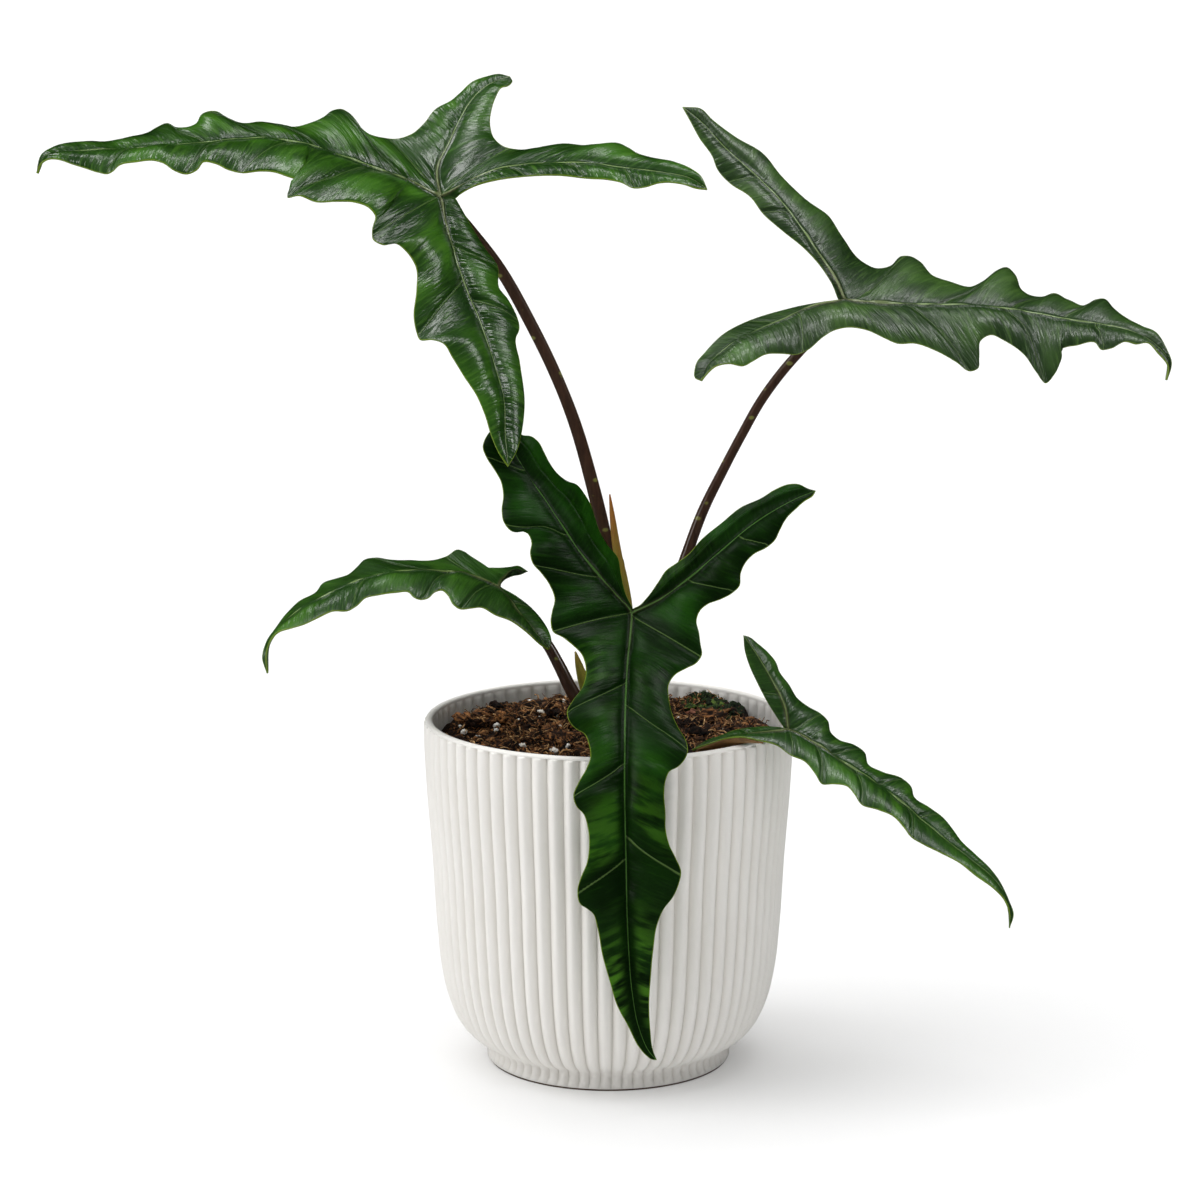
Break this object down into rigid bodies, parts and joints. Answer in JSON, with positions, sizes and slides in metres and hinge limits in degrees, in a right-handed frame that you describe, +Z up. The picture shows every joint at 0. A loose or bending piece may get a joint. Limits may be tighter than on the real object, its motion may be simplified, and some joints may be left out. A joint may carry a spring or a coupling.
{
  "type": "potted alocasia plant",
  "caption": "Alocasia with dark glossy arrow-shaped, wavy-edged leaves on slim stalks, growing from coarse potting mix in a white fluted round cover pot.",
  "frame": {"origin": "centre of the pot's flat underside, on the surface that it stands on", "axes": "+Z up; +X to the viewer's right along the plant's widest spread; -Y towards the viewer of the picture"},
  "size_m": [0.4438, 0.1701, 0.3988],
  "materials": {
    "pot": "matte",
    "soil": "rough",
    "crown": "rough",
    "stalk": "satin",
    "leaf": "glossy",
    "spear": "satin",
    "sheath": "satin"
  },
  "bodies": {
    "root": {"pot": "pot", "soil": "soil", "crown": "crown", "stalk_upper_left": "stalk", "blade_upper_left": "leaf", "stalk_upper_right": "stalk", "blade_upper_right": "leaf", "stalk_front": "stalk", "blade_front": "leaf", "stalk_lower_left": "stalk", "blade_lower_left": "leaf", "stalk_lower_right": "stalk", "blade_lower_right": "leaf", "spear": "spear", "sheath": "sheath"}
  },
  "joints": []
}
